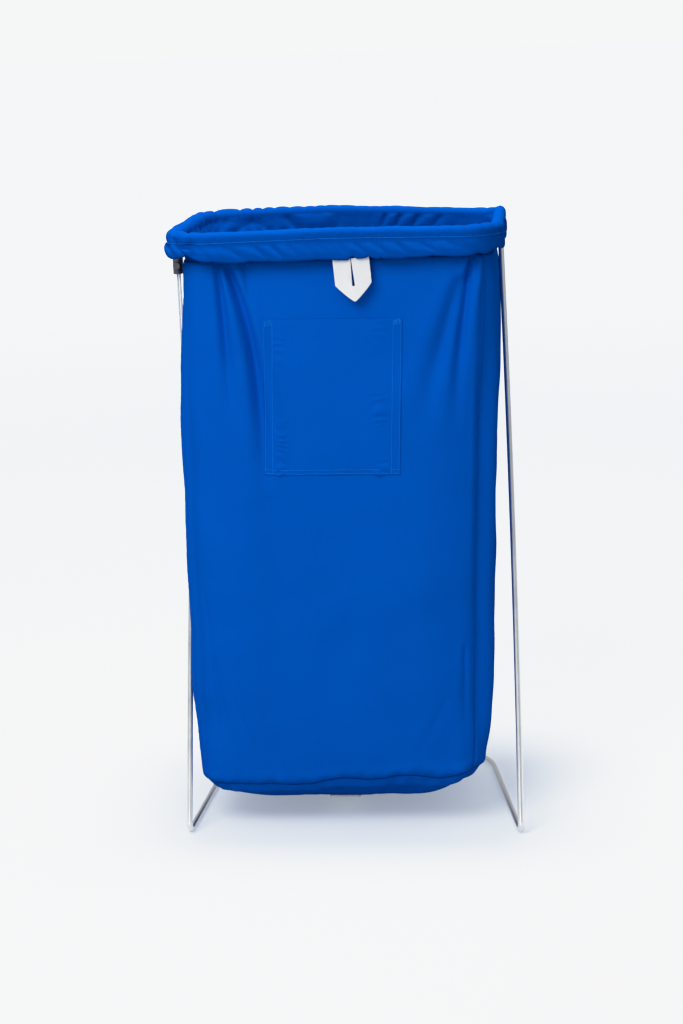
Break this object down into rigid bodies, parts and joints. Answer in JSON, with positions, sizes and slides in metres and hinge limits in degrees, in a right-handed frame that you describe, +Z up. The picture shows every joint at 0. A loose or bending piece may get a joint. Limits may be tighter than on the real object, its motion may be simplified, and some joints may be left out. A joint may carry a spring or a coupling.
{
  "type": "drawcord bag on wire stand",
  "caption": "Open-topped cloth bag with a drawcord hem, hung over the hoop of a free-standing bent-wire stand, with a patch pocket and a slit tab.",
  "frame": {"origin": "on the floor, at the centre of the footprint", "axes": "+Z up, +Y towards the rear bar, +X to the right as seen from the front"},
  "size_m": [0.448, 0.3152, 0.7976],
  "materials": {
    "steel_wire": "polished round wire",
    "spring_steel": "bright spring wire",
    "blue_cloth": "fine plain-weave polyester with a soft sheen",
    "white_webbing": "tight woven tape",
    "white_cord": "braided cord",
    "black_plastic": "moulded, satin"
  },
  "bodies": {
    "stand": {"leg_frame": "steel_wire", "top_hoop": "steel_wire", "leg_weld_left": "steel_wire", "leg_weld_right": "steel_wire"},
    "bag": {"front_panel": "blue_cloth", "back_panel": "blue_cloth", "side_panel_left": "blue_cloth", "side_panel_right": "blue_cloth", "bottom_panel": "blue_cloth", "hem_casing": "blue_cloth", "pocket_patch": "blue_cloth", "pull_strap": "white_webbing", "draw_cord": "white_cord"},
    "closing_tab": {"closing_tab": "white_webbing"},
    "cord_lock": {"cord_lock_body": "black_plastic", "cord_lock_spring": "spring_steel"},
    "lock_button": {"cord_lock_button": "black_plastic"}
  },
  "joints": [
    {"name": "bag_lift", "type": "slide", "parent": "stand", "child": "bag", "axis": [0, 0, 1], "range_m": [0, 0.85]},
    {"name": "tab_hinge", "type": "hinge", "parent": "bag", "child": "closing_tab", "pos_m": [0.024, -0.1504, 0.759], "axis": [-1, 0, 0], "range_deg": [0, 100], "stiffness_Nm_per_rad": 0.001},
    {"name": "lock_slide", "type": "slide", "parent": "bag", "child": "cord_lock", "axis": [0, 0, -1], "range_m": [0, 0.166]},
    {"name": "button_press", "type": "slide", "parent": "cord_lock", "child": "lock_button", "axis": [0, 1, 0], "range_m": [0, 0.003], "stiffness_N_per_m": 600, "springref_m": -0.003, "deforming": ["cord_lock_spring"]}
  ]
}
